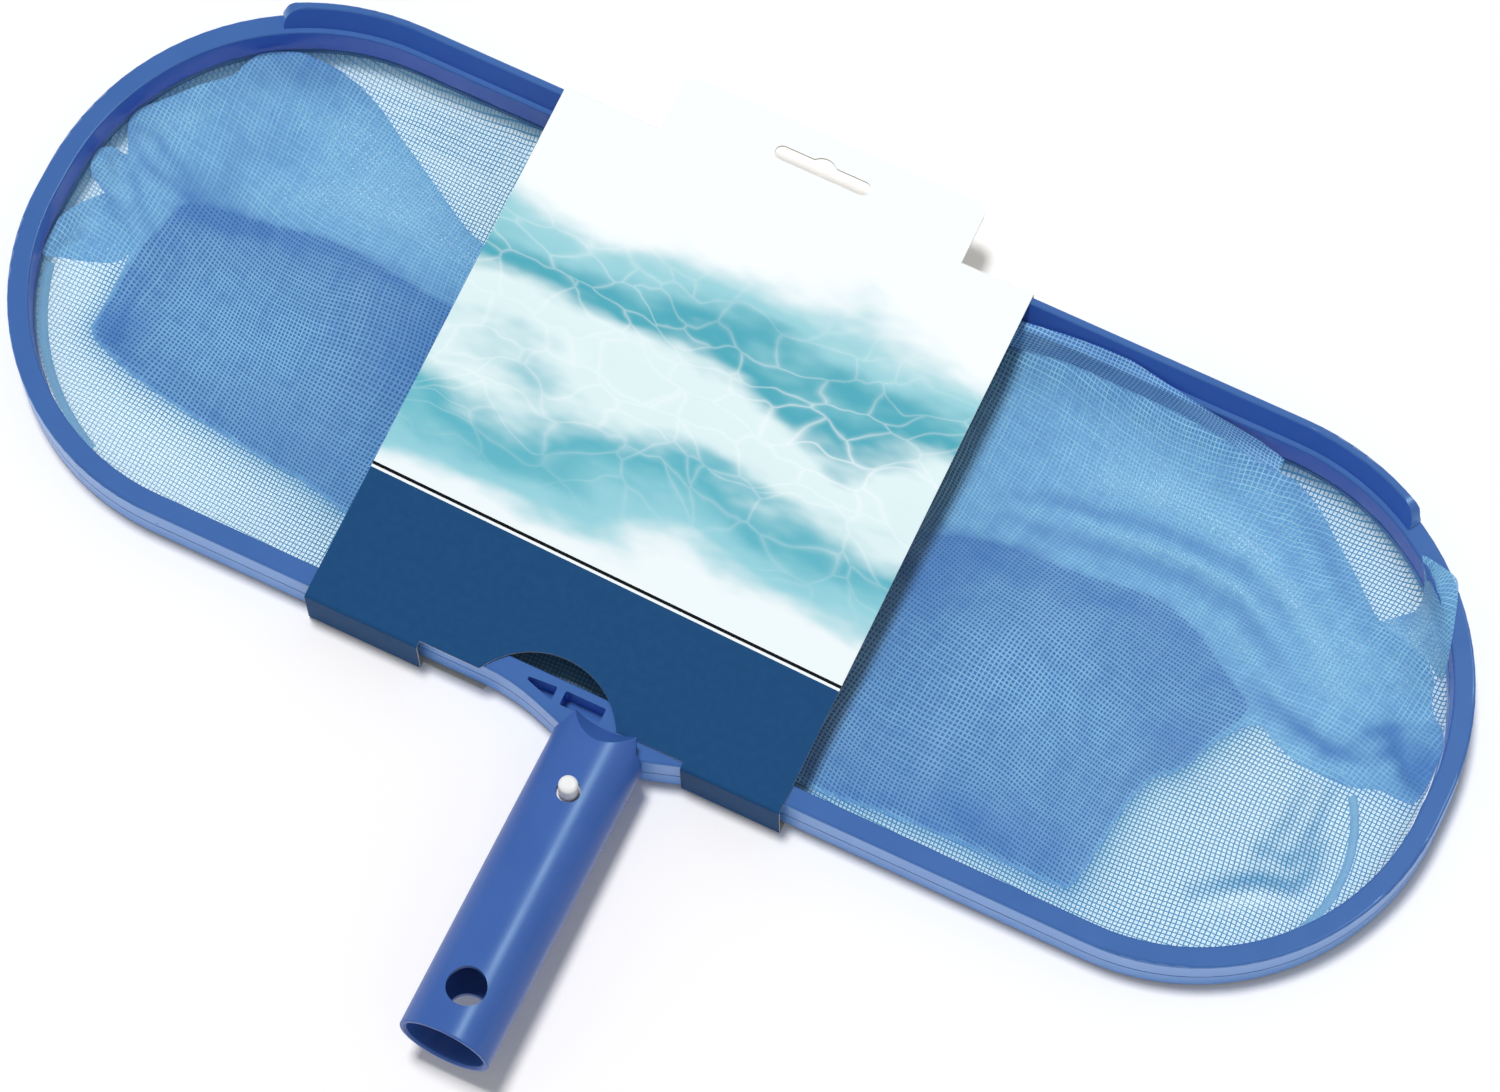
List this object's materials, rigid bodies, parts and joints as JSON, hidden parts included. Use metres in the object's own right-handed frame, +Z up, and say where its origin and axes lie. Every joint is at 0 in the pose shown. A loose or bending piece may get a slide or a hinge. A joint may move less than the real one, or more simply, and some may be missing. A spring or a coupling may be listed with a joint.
{
  "type": "leaf skimmer net",
  "caption": "Long oval net frame in two clamped halves with a raised scoop edge, a folded mesh bag, a sprung-button pole spigot and a printed board sleeve.",
  "frame": {"origin": "on the floor under the part, midway between the spigot's mouth and the tip of the hang tab, on the frame's centre line", "axes": "+X along the frame's long side, +Z up through the net's mouth, -Y towards the pole"},
  "size_m": [0.4572, 0.2987, 0.0412],
  "materials": {
    "blue_plastic": "moulded, satin gloss",
    "steel": "plain stainless",
    "white_plastic": "moulded acetal",
    "net": "fine square mesh",
    "tape": "woven binding",
    "board": "coated and printed board"
  },
  "bodies": {
    "frame": {"upper_frame": "blue_plastic", "lower_frame": "blue_plastic", "pole_spigot": "blue_plastic", "bracket_screws": "steel", "clip_bend": "white_plastic", "net_hem": "net", "net_bag": "net", "seam_tapes": "tape", "board_sleeve": "board"},
    "upper_button": {"upper_button_arm": "white_plastic"},
    "lower_button": {"lower_button_arm": "white_plastic"}
  },
  "joints": [
    {"name": "upper_button_press", "type": "hinge", "parent": "frame", "child": "upper_button", "pos_m": [0, -0.1068, 0.03396], "axis": [-1, 0, 0], "range_deg": [0, 9], "stiffness_Nm_per_rad": 1.5, "springref_deg": -3.44},
    {"name": "lower_button_press", "type": "hinge", "parent": "frame", "child": "lower_button", "pos_m": [0, -0.10821, 0.01261], "axis": [1, 0, 0], "range_deg": [0, 9], "stiffness_Nm_per_rad": 1.5, "springref_deg": -3.44}
  ]
}
